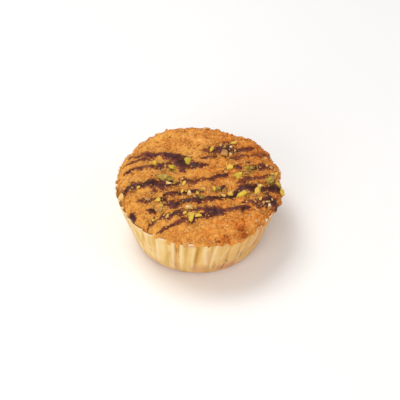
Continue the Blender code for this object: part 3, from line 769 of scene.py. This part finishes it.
def makeCake():
    # The crumbled top, its underside and the side in the case, as one closed skin
    edge = np.concatenate([[(2 * half, k) for k in range(2 * half)],
                           [(k, 2 * half) for k in range(2 * half, 0, -1)],
                           [(0, k) for k in range(2 * half, 0, -1)],
                           [(k, 0) for k in range(2 * half)]])
    index = np.arange(relief.size).reshape(relief.shape)
    top = smoothCrust + gridNormal * relief[..., None]
    angle = -45 + 360 * np.arange(len(edge)) / len(edge)
    rim, lip = rimHeight(angle), lipRadius(angle)
    short = np.clip(case["rimRadius"] - lip, 0, crust["mostShort"])
    neckSlide, underSlide = crust["slides"]
    wall, _, share = wallRings(angle, crust["wallPoints"], case["sheet"] + crust["wallGap"])
    wrinkle, _ = paperWrinkle(angle, share, paleCrests(angle, share))
    # the neck lies closer behind the paper, and slides down along its slope
    wrinkle[-1] += crust["wallGap"] - crust["neckGap"] - neckSlide * short
    wall += polar(wrinkle, angle, 0)
    wall[-1, :, 2] = rim + crust["neckTop"] - short
    tuckIn, tuckUp = crust["tuck"]
    under = polar(lip - tuckIn, angle, rim + tuckUp)
    sunk, pushed = crumbHang(angle, np.ones(len(edge)))
    under += polar(pushed, angle, -sunk - underSlide * short)
    rings = np.concatenate([under[None], wall[::-1]])
    points = np.concatenate([top.reshape(-1, 3), rings.reshape(-1, 3), [[0, 0, wall[0, 0, 2]]]])
    sides = relief.size + np.arange(rings[..., 0].size).reshape(rings.shape[:2])
    sides = np.concatenate([index[edge[:, 0], edge[:, 1]][None], sides])
    quads = np.concatenate([quadsOf(index)[:, ::-1], quadsOf(sides, wrap=True)[:, ::-1]])
    bottom = fanOf(sides[-1][::-1], len(points) - 1)
    # lower crumb gets more toast and higher crumb less: painted shade in the pits, painted light on
    # the tops
    toast = crust["toast"] + browning(smoothCrust) - crust["toastDown"] * relief
    toast += crust["toastGrain"] * (grainTone - 0.5)
    toast += layers(smoothCrust, crust["toastCloud"]) \
        + crust["toastBeside"] * smoothStep(*chocolate["besideCover"], cover)
    least, more = chocolate["stain"]
    stain = (least + more * fullness) * smoothStep(*chocolate["stainCover"], cover)
    stain = np.maximum(stain, smearing(smoothCrust, cover))
    side = np.ones(rings[..., 0].size + 1)
    tones = {"toast": np.concatenate([toast.ravel(), crust["sideToast"] * side]),
             "stain": np.concatenate([stain.ravel(), 0 * side]),
             "gold": np.concatenate([goldenSide(smoothCrust).ravel(), crust["sideGold"] * side])}
    piece = toPiece("coconutCake", points, [quads, bottom], bakedCrumb, tones)
    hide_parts("cake")


def darkChocolateMaterial():
    # Dark couverture, melted, drizzled and set: a satin brown with a faint purple cast that
    # is painted sheen, paler painted highlights along its strands, and thin enough at its
    # edges for the crumb to warm it
    made, tree, shader = newMaterial("darkCouverture", Roughness=0.34, IOR=1.5,
                                     Specular_IOR_Level=0.12)
    place = addNode(tree, "TexCoord")
    # bloom in specks of about 1.4 mm
    tint, bloom = mottled(tree, place, "thick", 700, 3, 0.4, [
        (0.15, "#9E5C36"), (1, "#3A1E16"), (0.4, "#7C3E26"), (0.7, "#5E2C1E")])
    # mauve clouds of about 4 mm: a painted sheen
    cloud = addNode(tree, "TexNoise", {"Vector": (place, "Object"), "Scale": 240, "Detail": 2})
    patch = addNode(tree, "MapRange", {"Value": (cloud, "Fac"), "From Min": 0.42,
                                       "From Max": 0.62, "To Max": 0.4})
    sheenCast = addNode(tree, "Mix", {"Factor": (patch, "Result"), "A": tint,
                                 "B": hexColor("#653B3D")}, data_type="RGBA")
    finishShader(tree, shader, (sheenCast, "Result"), bloom, 0.5, 0.2)
    return made


def makeChocolate():
    # A skin over the crust wherever the cover reaches, closed below and at its edges
    body = np.clip(cover, 0, 1)
    ripple = softNoise(smoothCrust * chocolate["strandStretch"], chocolate["strandSize"],
                       chocolate["strandSeed"])
    skin = chocolate["base"] + chocolate["fuller"] * fullness
    skin += chocolate["thickness"] * np.sqrt(np.clip(cover + chocolate["rounding"], 0, 1))
    skin += chocolate["belly"] * fullness * body + chocolate["follow"] * relief \
        + chocolate["strands"] * ripple
    top = smoothCrust + gridNormal * skin[..., None]
    low = smoothCrust - gridNormal * chocolate["depth"]
    keep = cover > chocolate["edge"]
    keep = keep[:-1, :-1] & keep[1:, :-1] & keep[1:, 1:] & keep[:-1, 1:]
    # cells that would meet at one corner only are joined by a third
    falling = keep[:-1, :-1] & keep[1:, 1:] & ~keep[:-1, 1:] & ~keep[1:, :-1]
    rising = keep[:-1, 1:] & keep[1:, :-1] & ~keep[:-1, :-1] & ~keep[1:, 1:]
    keep[:-1, 1:] |= falling
    keep[:-1, :-1] |= rising
    index = np.arange(skin.size).reshape(skin.shape)
    quads = quadsOf(index)[keep.ravel()][:, ::-1]
    starts = quads.ravel()
    ends = np.roll(quads, -1, axis=1).ravel()
    inside = np.isin(starts * skin.size + ends, ends * skin.size + starts)
    a, b = starts[~inside], ends[~inside]
    walls = np.stack([b, a, a + skin.size, b + skin.size], axis=-1)
    faces = np.concatenate([quads, quads[:, ::-1] + skin.size, walls])
    used, faces = np.unique(faces, return_inverse=True)
    points = np.concatenate([top.reshape(-1, 3), low.reshape(-1, 3)])[used]
    # thinner, so paler, where a strand ripple rises: painted highlight
    thick = np.minimum(body * fullness, chocolate["darkest"]) - chocolate["paleStrands"] * ripple
    thick = thick + layers(smoothCrust, chocolate["clouds"])
    thick = np.tile(thick.ravel(), 2)[used]
    toPiece("chocolateDrizzle", points, [faces.reshape(-1, 4)], darkChocolateMaterial(),
            {"thick": thick})


makeCake()
print("cake made")
makeChocolate()
print("chocolate made")


# Chopped pistachio

nuts = {
    # x, y, length, width, turn, shade: 0 pale, 0.3 yellow, 0.6 green, 0.85 olive, 1.1 tan skin
    "pieces": (
        (6.5, 17.5, 3.5, 2.2, 75, 0.32), (16.7, 22.8, 3, 1.9, 5, 0.3),
        (12.1, 14.2, 3.7, 3, 80, 1.15), (-4.7, 9.2, 3.9, 2.8, 70, 0.5),
        (-19.5, 6.5, 3, 2, 100, 0.35), (-11.3, 3.4, 3.6, 3, 20, 0.58),
        (-15.4, -3.2, 3.8, 2.7, -8, 0.72), (-13.3, -3.4, 3.8, 2.5, 15, 0.76),
        (-13.2, -5.5, 2.7, 2.2, 0, 0.14), (-32.8, -11.6, 2.8, 2.6, 110, 0.14),
        (-18, -16.5, 2.4, 2, 30, 0.28), (-16.6, -21.8, 2.8, 2, -60, 1.18),
        (-3.7, -12.2, 2.9, 2.2, -20, 0.1), (1.7, -14.3, 3, 2.6, 90, 0.76),
        (2.6, -10.1, 2.4, 2.1, 0, 0.25), (-3.6, -20.3, 2.9, 2.5, 20, 0.1),
        (-2.8, -26, 5, 2.7, 88, 0.35), (0.1, -24.9, 2.7, 1.9, 10, 0.33),
        (14.6, -11.3, 3.1, 2.6, -30, 0.25), (19.2, -11, 4.4, 2.8, 35, 0.45),
        (24.5, -11.4, 2.2, 1.6, -20, 1.1), (26.8, -7.9, 4.2, 2.5, 85, 0.3),
        (28.3, -5.3, 2.6, 2.1, 60, 0.2), (17.7, 0.7, 3.9, 2.7, 0, 0.48), (14.5, 5.6, 2.5, 2.3, 0, 0.3),
        (22.2, 5.7, 2.8, 2.4, 50, 0.62), (32.5, -1.4, 5.2, 4.2, 40, 0.67),
        (35.3, -1.9, 2.8, 2.4, 0, 0.64), (33.4, 4.2, 1.8, 1.4, 60, 0.5),
        (11.8, 19.2, 2.5, 1.5, 80, 0.7), (15, 20, 3.3, 1, 60, 0.12), (27.9, -13.4, 2.6, 0.9, 70, 0.2),
        (31.5, -15.2, 2.2, 1.2, 60, 0), (30.6, -14.4, 1.6, 1.1, 10, 0.05),
        (32.4, -13.2, 1.6, 1.1, 0, 0.1), (14.9, 15, 4, 1.2, 80, 0.15), (-7, 7, 3, 1.5, 80, 0.82),
        (-10, -5.5, 2.5, 1.8, 10, 0.85), (-6.2, -6, 2, 1.4, 40, 0.3),
        (-26.5, -8.5, 1.8, 1.4, 20, 0.3), (-22, -15, 2, 1.5, 0, 1.18),
        (-16, -19.9, 2, 1.4, 70, 0.38), (-7, -11.5, 1.9, 1.5, 60, 0.3), (0, -12.5, 2, 1.6, 50, 0.3),
        (-6, -23.4, 1.7, 1.2, 30, 0.2), (9, -9.6, 1.7, 1.3, 30, 0.85), (7.2, -9.8, 2.6, 1.7, 60, 0.3),
        (11.7, -13.7, 2.5, 1.5, 10, 0.18), (20.9, 2, 1.5, 1.2, 0, 1.1),
        (37, -5.2, 2.8, 2.4, 90, 0.34), (34.8, 4.6, 2.8, 1.5, 70, 0.35), (25.9, -3.8, 2, 1.5, 0, 1.1),
        (29.6, -21.8, 1.5, 1, 30, -0.25), (-13.4, -25.5, 1.7, 1.3, 20, 0.14),
        (-19.4, -27.3, 1.5, 1.2, 0, 0.35), (-14.5, 4.6, 2.6, 0.9, 75, 1.15),
        (-18.5, -5.8, 1.4, 1.2, 0, 0), (12, -9.6, 2, 1.4, 30, 1.1), (24.3, 6.4, 2.2, 1.6, 0, 0.8),
    ),
    "seed": 21,
    "cut": 1.2,  # blanks are this much larger, since the cuts take some off
    "thickness": 0.72,  # of the width
    "sink": (0.3, 0.15),  # height of the middle: share of the thickness, and mm
    "lean": 14, "planes": 8, "rows": 17, "columns": 28,
    "edge": 40,  # a higher power gives crisper edges
    # paleTop: a piece is paler on top and darker below, partly painted light and partly its skin
    "rough": 0.07, "tonePerShade": 0.8, "paleTop": 0.12, "mottle": (0.12, 1.2, 81),
}


def pistachioMaterial():
    # Raw pistachio kernel, chopped: waxy, slightly see-through flesh, yellow-green
    # where it was cut, deeper green and olive near its skin
    made, tree, shader = newMaterial("choppedPistachio", Roughness=0.5, IOR=1.47,
                                     Subsurface_Weight=0.15, Subsurface_Scale=mm,
                                     Subsurface_Radius=(0.8, 0.8, 0.3),
                                     Specular_IOR_Level=0.3)
    # flesh mottled in specks of about 1.1 mm
    tint, flesh = mottled(tree, addNode(tree, "TexCoord"), "shade", 900, 2, 0.24, [
        (0.0, "#FAEFDD"), (1.0, "#BE8A4A"), (0.11, "#E6C690"), (0.22, "#DCAC58"),
        (0.36, "#DAB53C"), (0.51, "#CCAE33"), (0.61, "#B39038"), (0.7, "#957B30"),
        (0.8, "#735A2C"), (0.9, "#96683A")])
    finishShader(tree, shader, tint, flesh, 0.25, 0.2)
    return made


chopping = {
    "cuts": (0.4, 0.9),  # distance of a cut from the middle, in half sizes
    "roughSize": 0.45, "roughSeed": 80,
    "apart": 7,  # from piece to piece in the noise, so that each gets its own
}


def chips(size, make, rng):
    # Chopped pieces: in each direction the radius is the soft least distance to a few
    # random cut planes, so faces are flat and edges slightly worn; noise roughens it
    polarTurn = np.linspace(0, np.pi, make["rows"] + 2)[1:-1, None]
    aroundTurn = np.linspace(0, 2 * np.pi, make["columns"], endpoint=False)[None]
    ways = np.stack([np.sin(polarTurn) * np.cos(aroundTurn), np.sin(polarTurn) * np.sin(aroundTurn),
                     np.cos(polarTurn) + 0 * aroundTurn], axis=-1).reshape(-1, 3)
    ways = np.concatenate([[[0, 0, 1]], ways, [[0, 0, -1]]])
    cuts = rng.normal(size=(len(size), make["planes"], 3))
    cuts /= np.linalg.norm(cuts, axis=-1, keepdims=True)
    cuts /= rng.uniform(*chopping["cuts"], (len(size), make["planes"], 1))
    box = np.broadcast_to(np.concatenate([np.eye(3), -np.eye(3)]), (len(size), 6, 3))
    cuts = np.concatenate([cuts, box], axis=1)
    reach = np.maximum(np.einsum("vk,npk->nvp", ways, cuts), 0)
    radius = (reach**make["edge"]).sum(axis=-1) ** (-1 / make["edge"])
    spots = ways + chopping["apart"] * np.arange(len(size))[:, None, None]
    radius *= 1 + make["rough"] * softNoise(spots, chopping["roughSize"], chopping["roughSeed"])
    points = ways * radius[..., None] * size[:, None] / 2
    ringIndex = 1 + np.arange(len(ways) - 2).reshape(make["rows"], make["columns"])
    quads = quadsOf(ringIndex, wrap=True)[:, ::-1]
    caps = np.concatenate([fanOf(ringIndex[0], 0), fanOf(ringIndex[-1][::-1], len(ways) - 1)])
    return points, quads, caps


def laid(points, quads, caps, x, y, turn, tilt, lift):
    # Each piece turned by its own angle, leaned, and set on the crust; all joined
    normal = crustNormal(x, y)
    heading = polar(1.0, turn, 0)
    across = np.cross(normal, heading)
    across /= np.linalg.norm(across, axis=-1, keepdims=True)
    along = np.cross(across, normal)
    c, s = np.cos(np.radians(tilt))[:, None], np.sin(np.radians(tilt))[:, None]
    along, up = c * along + s * normal, c * normal - s * along
    axes = np.stack([along, across, up], axis=1)
    centre = crustPoint(x, y) + normal * lift[:, None]
    placed = np.einsum("nvk,nkc->nvc", points, axes) + centre[:, None]
    step = (np.arange(len(x)) * points.shape[1])[:, None, None]
    return placed.reshape(-1, 3), [(quads[None] + step).reshape(-1, 4),
                                   (caps[None] + step).reshape(-1, 3)]


def makeNuts():
    rng = np.random.default_rng(nuts["seed"])
    x, y, length, width, turn, shade = np.array(nuts["pieces"], float).T
    thickness = nuts["thickness"] * width
    size = np.stack([length, width, thickness], axis=-1) * nuts["cut"]
    points, quads, caps = chips(size, nuts, rng)
    tilt = rng.uniform(-nuts["lean"], nuts["lean"], len(x))
    share, more = nuts["sink"]
    placed, faces = laid(points, quads, caps, x, y, turn, tilt, share * thickness + more)
    tones = np.repeat(shade[:, None], points.shape[1], axis=1)
    # paler on top and darker below: partly painted light, partly the skin
    tones = tones - nuts["paleTop"] * points[..., 2] / thickness[:, None]
    tones = tones + layers(points + 9 * np.arange(len(x))[:, None, None], nuts["mottle"])
    toPiece("choppedPistachio", placed, faces, pistachioMaterial(),
            {"shade": nuts["tonePerShade"] * tones}, crisp=32)


makeNuts()
print("pistachio made")


def strewn(x, y, bits, rng):
    # Small bits on the crust, most of them near the smallest size: their points, their
    # faces, and how many points each has
    count = len(x)
    big = bits["smallest"] + (bits["largest"] - bits["smallest"]) * rng.random(count) ** bits["power"]
    size = big[:, None] * rng.uniform(*bits["stretch"], (count, 3))
    points, quads, caps = chips(size, bits, rng)
    level, perSize = bits["lift"]
    turn = rng.uniform(0, 360, count)
    tilt = rng.uniform(-bits["lean"], bits["lean"], count)
    placed, faces = laid(points, quads, caps, x, y, turn, tilt, level + perSize * big)
    return placed, faces, points.shape[1]


# Nut dust that lies between the chopped pieces

dust = {
    "count": 1300, "seed": 31,
    "aroundNut": 2.3,  # mm, spread about each nut
    "within": 35,  # mm from the middle
    "smallest": 0.4, "largest": 1.7, "power": 4, "stretch": (0.4, 1.25),
    "lift": (0.25, 0.2),  # mm, and per mm of size
    "lean": 30, "planes": 5, "rows": 4, "columns": 7, "edge": 20, "rough": 0,
    "bare": 0.8,  # share that is missing from the full lines of chocolate
    "bareCover": (0, 0.3), "bareFullness": (0.7, 1.2),
    "paler": 0.6,  # away from the nuts
    "palerFrom": (1.5, 3.5),  # mm from the nearest nut
}


def nutDustMaterial():
    # Fine nut crumbs: dry, from tan through ochre to a brown olive
    made, tree, shader = newMaterial("pistachioDust", Roughness=0.7, IOR=1.45)
    finishShader(tree, shader, ramped(tree, "shade", [
        (0.0, "#D8A764"), (1.0, "#643F1E"), (0.3, "#C28E3C"), (0.55, "#B08832"), (0.8, "#8A6C2A")]))
    return made


def makeDust():
    rng = np.random.default_rng(dust["seed"])
    spots = np.array(nuts["pieces"])[:, :2]
    chosen = spots[rng.integers(len(spots), size=dust["count"])]
    place = chosen + rng.normal(scale=dust["aroundNut"], size=chosen.shape)
    place = place[np.hypot(*place.T) < dust["within"]]
    covered, full = chocolateCover(crustPoint(*place.T))
    clean = smoothStep(*dust["bareCover"], covered) * smoothStep(*dust["bareFullness"], full)
    place = place[rng.random(len(place)) >= clean * dust["bare"]]
    placed, faces, each = strewn(*place.T, dust, rng)
    reach = np.linalg.norm(place[:, None] - spots[None], axis=-1).min(axis=1)
    tones = rng.random(len(place)) * (1 - dust["paler"] * smoothStep(*dust["palerFrom"], reach))
    toPiece("pistachioDust", placed, faces, nutDustMaterial(),
            {"shade": np.repeat(tones, each)}, crisp=30)


makeDust()
print("dust made")


# Loose crumbs that stand on the crust

crumbs = {
    "count": 700, "seed": 51,
    "onEdge": 0.4,  # this share lies on the shoulder
    "smallest": 0.6, "largest": 1.9, "power": 3, "stretch": (0.6, 1.1),
    "lift": (0.22, -0.15), "lean": 30, "planes": 6, "rows": 5, "columns": 9, "edge": 12,
    "rough": 0.15,
    "toast": (0.42, 0.14),  # mean and spread
    "stain": (0.3, 0.9), "stainCover": (-0.3, 0.4),
}


def makeCrumbs():
    rng = np.random.default_rng(crumbs["seed"])
    around = rng.uniform(0, 360, crumbs["count"])
    radius = crustShares(rng, crumbs["count"], crumbs["onEdge"]) * lipRadius(around)
    spots = polar(radius, around, 0)
    x, y = spots[:, 0], spots[:, 1]
    placed, faces, each = strewn(x, y, crumbs, rng)
    spots = crustPoint(x, y)
    covered, _ = chocolateCover(spots)
    mean, spread = crumbs["toast"]
    toast = mean + browning(spots) + rng.normal(scale=spread, size=len(x))
    stain = smoothStep(*crumbs["stainCover"], covered) * rng.uniform(*crumbs["stain"], len(x))
    toPiece("looseCrumbs", placed, faces, bakedCrumb,
            {"toast": np.repeat(toast, each), "stain": np.repeat(stain, each),
             "gold": np.repeat(goldenSide(spots), each)}, crisp=40)


makeCrumbs()
print("crumbs made")


# Coconut shreds baked into the crust

shreds = {
    "count": 3600, "seed": 41, "onEdge": 0.38,
    "clearOf": 0.05,  # none where the chocolate's cover is more than this
    "length": (0.9, 2.2),
    "shortened": 0.4,  # by up to this share
    "width": 0.4, "widths": (0.6, 1.25), "thickness": 0.2, "thicknesses": (0.8, 1.3),
    "stations": 4, "taper": 0.45,
    "bend": (-0.35, 0.35),  # sideways, in half lengths
    "arch": (-0.12, 0.04), "lift": (0.0, 0.35), "lean": 12,
    "toast": (0.45, 1.2, 0.16),  # mean, share of the browning, spread
}


def coconutShredMaterial():
    # Desiccated coconut, baked in: short flat fibres, from cream to toasted gold
    made, tree, shader = newMaterial("toastedCoconut", Roughness=0.62, IOR=1.45,
                                     Subsurface_Weight=0.15, Subsurface_Scale=mm,
                                     Subsurface_Radius=(1.0, 0.6, 0.3))
    finishShader(tree, shader, ramped(tree, "toast", [
        (0.0, "#F2BD78"), (1.0, "#94481A"), (0.3, "#E3A04C"), (0.55, "#D68733"), (0.8, "#B4641D")]))
    return made


def makeShreds():
    # A flat four-sided rod through four stations, bent to one side and arched
    rng = np.random.default_rng(shreds["seed"])
    count = shreds["count"]
    around = rng.uniform(0, 2 * np.pi, count)
    radius = crustShares(rng, count, shreds["onEdge"]) * lipRadius(np.degrees(around))
    x, y = radius * np.cos(around), radius * np.sin(around)
    covered, _ = chocolateCover(crustPoint(x, y))
    keep = covered < shreds["clearOf"]
    x, y, count = x[keep], y[keep], keep.sum()
    length = rng.uniform(*shreds["length"], count)
    length = length * (1 - shreds["shortened"] + shreds["shortened"] * rng.random(count))
    width = shreds["width"] * rng.uniform(*shreds["widths"], count)
    thickness = shreds["thickness"] * rng.uniform(*shreds["thicknesses"], count)
    t = np.linspace(-1, 1, shreds["stations"])[None, :, None]
    taper = 1 - shreds["taper"] * t**4
    corners = np.array([(-1, -1), (1, -1), (1, 1), (-1, 1)])
    bend = rng.uniform(*shreds["bend"], count)[:, None, None] * t**2
    arch = rng.uniform(*shreds["arch"], count)[:, None, None] * t**2
    half = 0.5 * length[:, None, None]
    each = shreds["stations"] * len(corners)
    points = np.stack([half * t + 0 * taper * corners[:, 0],
                       half * bend + 0.5 * width[:, None, None] * taper * corners[:, 0],
                       half * arch + 0.5 * thickness[:, None, None] * taper * corners[:, 1]],
                      axis=-1).reshape(count, each, 3)
    rods = np.arange(each).reshape(-1, len(corners))
    quads = np.concatenate([quadsOf(rods, wrap=True), [rods[0][::-1], rods[-1]]])
    lift = rng.uniform(*shreds["lift"], count)
    placed, faces = laid(points, quads, np.zeros((0, 3), int), x, y, rng.uniform(0, 360, count),
                         rng.normal(scale=shreds["lean"], size=count), lift)
    mean, browned, spread = shreds["toast"]
    toast = mean + browned * browning(crustPoint(x, y)) + rng.normal(scale=spread, size=count)
    toPiece("coconutShreds", placed, faces[:1], coconutShredMaterial(),
            {"toast": np.repeat(np.clip(toast, 0, 1), each)})


makeShreds()
print("shreds made")


# Paper case: how strongly it is marked

paper = {
    "grease": (0.14, 0.22, 0.12),  # everywhere, in the creases, and more at the right as painted shade
    # pale crests: partly painted highlight
    "paleCrests": 0.6,
    "paleRim": 0.85,  # a thin painted highlight along the very edge
    "rimLine": (0.95, 0.99),  # shares of the height over which it sets in
    # rosy tan towards the right: painted shade
    "peachRight": 0.4,
    "clouds": (  # mark, amount, noise between which it sets in, size and seed
        ("golden", 0.5, (0, 0.8), (4.5, 72)),
        ("peach", 0.4, (0.1, 0.9), (4, 75)),
    ),
    "footPeach": 0.55,  # the foot is rosy all round: browned cake through the paper, and painted contact shade
    "footCloud": (0.3, 4, 73), "footShare": (0.05, 0.3),
    "lining": 0.6,  # it is pale as painted highlight, and has no other mark
}


def greaseproofMaterial():
    # Greaseproof baking paper, pressed into pleats: thin and satin; cream on its crests,
    # partly painted highlight, golden where butter lets the cake show through, and a rosy
    # tan where it is browned, deepened by painted shade at the right, the foot and the crinkles
    made, tree, shader = newMaterial("greaseproofPaper", Roughness=0.55, IOR=1.45,
                                     Subsurface_Weight=0.2, Subsurface_Scale=mm,
                                     Subsurface_Radius=(1.0, 0.7, 0.4), Specular_IOR_Level=0.2)
    place = addNode(tree, "TexCoord")
    # cloudy grease marks of about 4 mm, in a mark that also holds painted shade at the right, and
    # paper fibres of about 0.5 mm
    color, _ = mottled(tree, place, "grease", 230, 4, 0.3, [
        (0.1, "#F3D494"), (1, "#A6683A"), (0.35, "#EABB70"), (0.6, "#DFA65A"), (0.8, "#CA8C4A")])
    fibre = addNode(tree, "TexNoise", {"Vector": (place, "Object"), "Scale": 1900, "Detail": 2})
    # peach also paints shade at the right and the foot, pale paints highlights on the crests and rim,
    # and scuff paints crinkle shade as well as spots
    color = marked(tree, color, (("peach", "#D4946A"), ("golden", "#CB9A3C"),
                                 ("pale", "#F8E0BC"), ("scuff", "#7A4E2A")))
    finishShader(tree, shader, color, (fibre, "Fac"), 0.2, 0.1)
    return made


def paperMarks(angle, share, inside, pale, along):
    # Each mark from 0 to 1 over the outside: its strokes, and clouds of its own; painted shade at the
    # right, the foot and the crinkles, and painted highlight on the crests and rim
    # the right side is made darker in the grease and peach marks: painted shade
    right = np.cos(np.radians(angle))
    level, creased, more = paper["grease"]
    # a thin pale line along the rim: painted highlight
    rimLine = paper["paleRim"] * smoothStep(*paper["rimLine"], share)
    peach = strokes(angle, share, case["peach"]) + paper["peachRight"] * np.clip(right, 0, 1)
    marks = {"grease": level + creased * inside * smoothStep(0, 1, share) + more * right,
             # pale: partly painted highlight on the crests, and wholly on the rim line
             "pale": np.maximum(paper["paleCrests"] * pale, rimLine),
             "golden": strokes(angle, share, case["golden"] + backGolden), "peach": peach,
             # dark spots, and painted crinkle shade
             "scuff": strokes(angle, share, case["scuffs"])}
    for mark, amount, between, cloud in paper["clouds"]:
        marks[mark] += amount * smoothStep(*between, softNoise(along, *cloud))
    # rosy at the foot: browned cake through the paper, partly painted shade
    foot = 1 - smoothStep(*paper["footShare"], share)
    foot = foot * (paper["footPeach"] + layers(along, paper["footCloud"]))
    marks["peach"] = np.maximum(marks["peach"], foot)
    return marks


def makeCase():
    # An outer and an inner wall from foot to rim, joined there and closed at the foot
    angle = np.arange(case["around"]) * 360 / case["around"]
    outer, inside, share = wallRings(angle, case["up"], 0)
    inner, _, _ = wallRings(angle, case["up"], case["sheet"])
    pale = paleCrests(angle, share)
    wrinkle, along = paperWrinkle(angle, share, pale)
    rim = polar(case["rimRadius"], angle, 0)
    outward = np.broadcast_to(rim / case["rimRadius"], outer.shape)
    shift = outward * wrinkle[..., None]
    rimWave = layers(rim, case["rimWaves"]) + rimRise(angle)
    flare = case["rimFlare"] * np.maximum(rimWave, 0)[:, None] * outward[0]
    near = smoothStep(case["rimFrom"], 1, share)[..., None]
    shift = shift + near * (flare + rimWave[:, None] * (0, 0, 1))
    rings = np.concatenate([outer + shift, (inner + shift)[::-1]])
    index = np.arange(rings[..., 0].size).reshape(rings.shape[:2])
    points = np.concatenate([rings.reshape(-1, 3), [[0, 0, 0], [0, 0, case["sheet"]]]])
    quads = quadsOf(index, wrap=True)
    caps = np.concatenate([fanOf(index[0][::-1], len(points) - 2), fanOf(index[-1], len(points) - 1)])
    # the inner face is pale: painted highlight
    lining = np.ones(inner[..., 0].size + 2) * paper["lining"]
    tones = {mark: np.append(np.clip(values, 0, 1), lining * (mark == "pale"))
             for mark, values in paperMarks(angle, share, inside, pale, along).items()}
    piece = toPiece("pleatedCase", points, [quads, caps], greaseproofMaterial(),
                    tones)
    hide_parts("paper_case")


makeCase()
print("case made")


# Floor, light and camera, in metres

studio = {
    "elevation": 44.5, "distance": 0.7,
    "target": 0.015,  # height that the camera looks at
    "lens": 138.0, "sensor": 36.0, "shift": (0.00525, 0.016),
    "floor": 3.0,  # length of its sides
    "sky": 0.5,
    "lights": (  # name, place, size, power
        ("overhead", (-0.25, 0.15, 0.75), 0.4, 3.4),
        ("front", (-0.35, -0.75, 0.45), 0.6, 3.4),
        ("side", (0.7, -0.35, 0.5), 0.6, 1.3),
    ),
}


def makeStudio():
    floorMesh = bpy.data.meshes.new("floor")
    side = studio["floor"] / 2
    floorMesh.from_pydata([(-side, -side, 0), (side, -side, 0), (side, side, 0), (-side, side, 0)],
                          [], [(0, 1, 2, 3)])
    floor = addObject("floor", floorMesh)
    pale, _, _ = newMaterial("paleFloor", Roughness=0.7, Base_Color=hexColor("#F4F2EF"))
    floorMesh.materials.append(pale)

    world = bpy.data.worlds.new("studio")
    world.use_nodes = True
    background = world.node_tree.nodes["Background"]
    background.inputs["Color"].default_value = hexColor("#FBFBFD")
    background.inputs["Strength"].default_value = studio["sky"]
    bpy.context.scene.world = world

    for name, place, size, power in studio["lights"]:
        light = bpy.data.lights.new(name, "AREA")
        light.size, light.energy = size, power
        lamp = addObject(name, light)
        lamp.location = place
        aim = -np.array(place)
        lamp.rotation_euler = (np.arctan2(np.hypot(*aim[:2]), -aim[2]), 0,
                               np.arctan2(aim[1], aim[0]) - np.pi / 2)

    tilt = np.radians(studio["elevation"])
    lens = bpy.data.cameras.new("camera")
    lens.lens, lens.sensor_width = studio["lens"], studio["sensor"]
    lens.shift_x, lens.shift_y = studio["shift"]
    camera = addObject("camera", lens)
    camera.location = (0, -studio["distance"] * np.cos(tilt),
                       studio["target"] + studio["distance"] * np.sin(tilt))
    camera.rotation_euler = (np.pi / 2 - tilt, 0, 0)
    bpy.context.scene.camera = camera
    bpy.context.scene.view_settings.view_transform = "Standard"


makeStudio()
print("studio made")
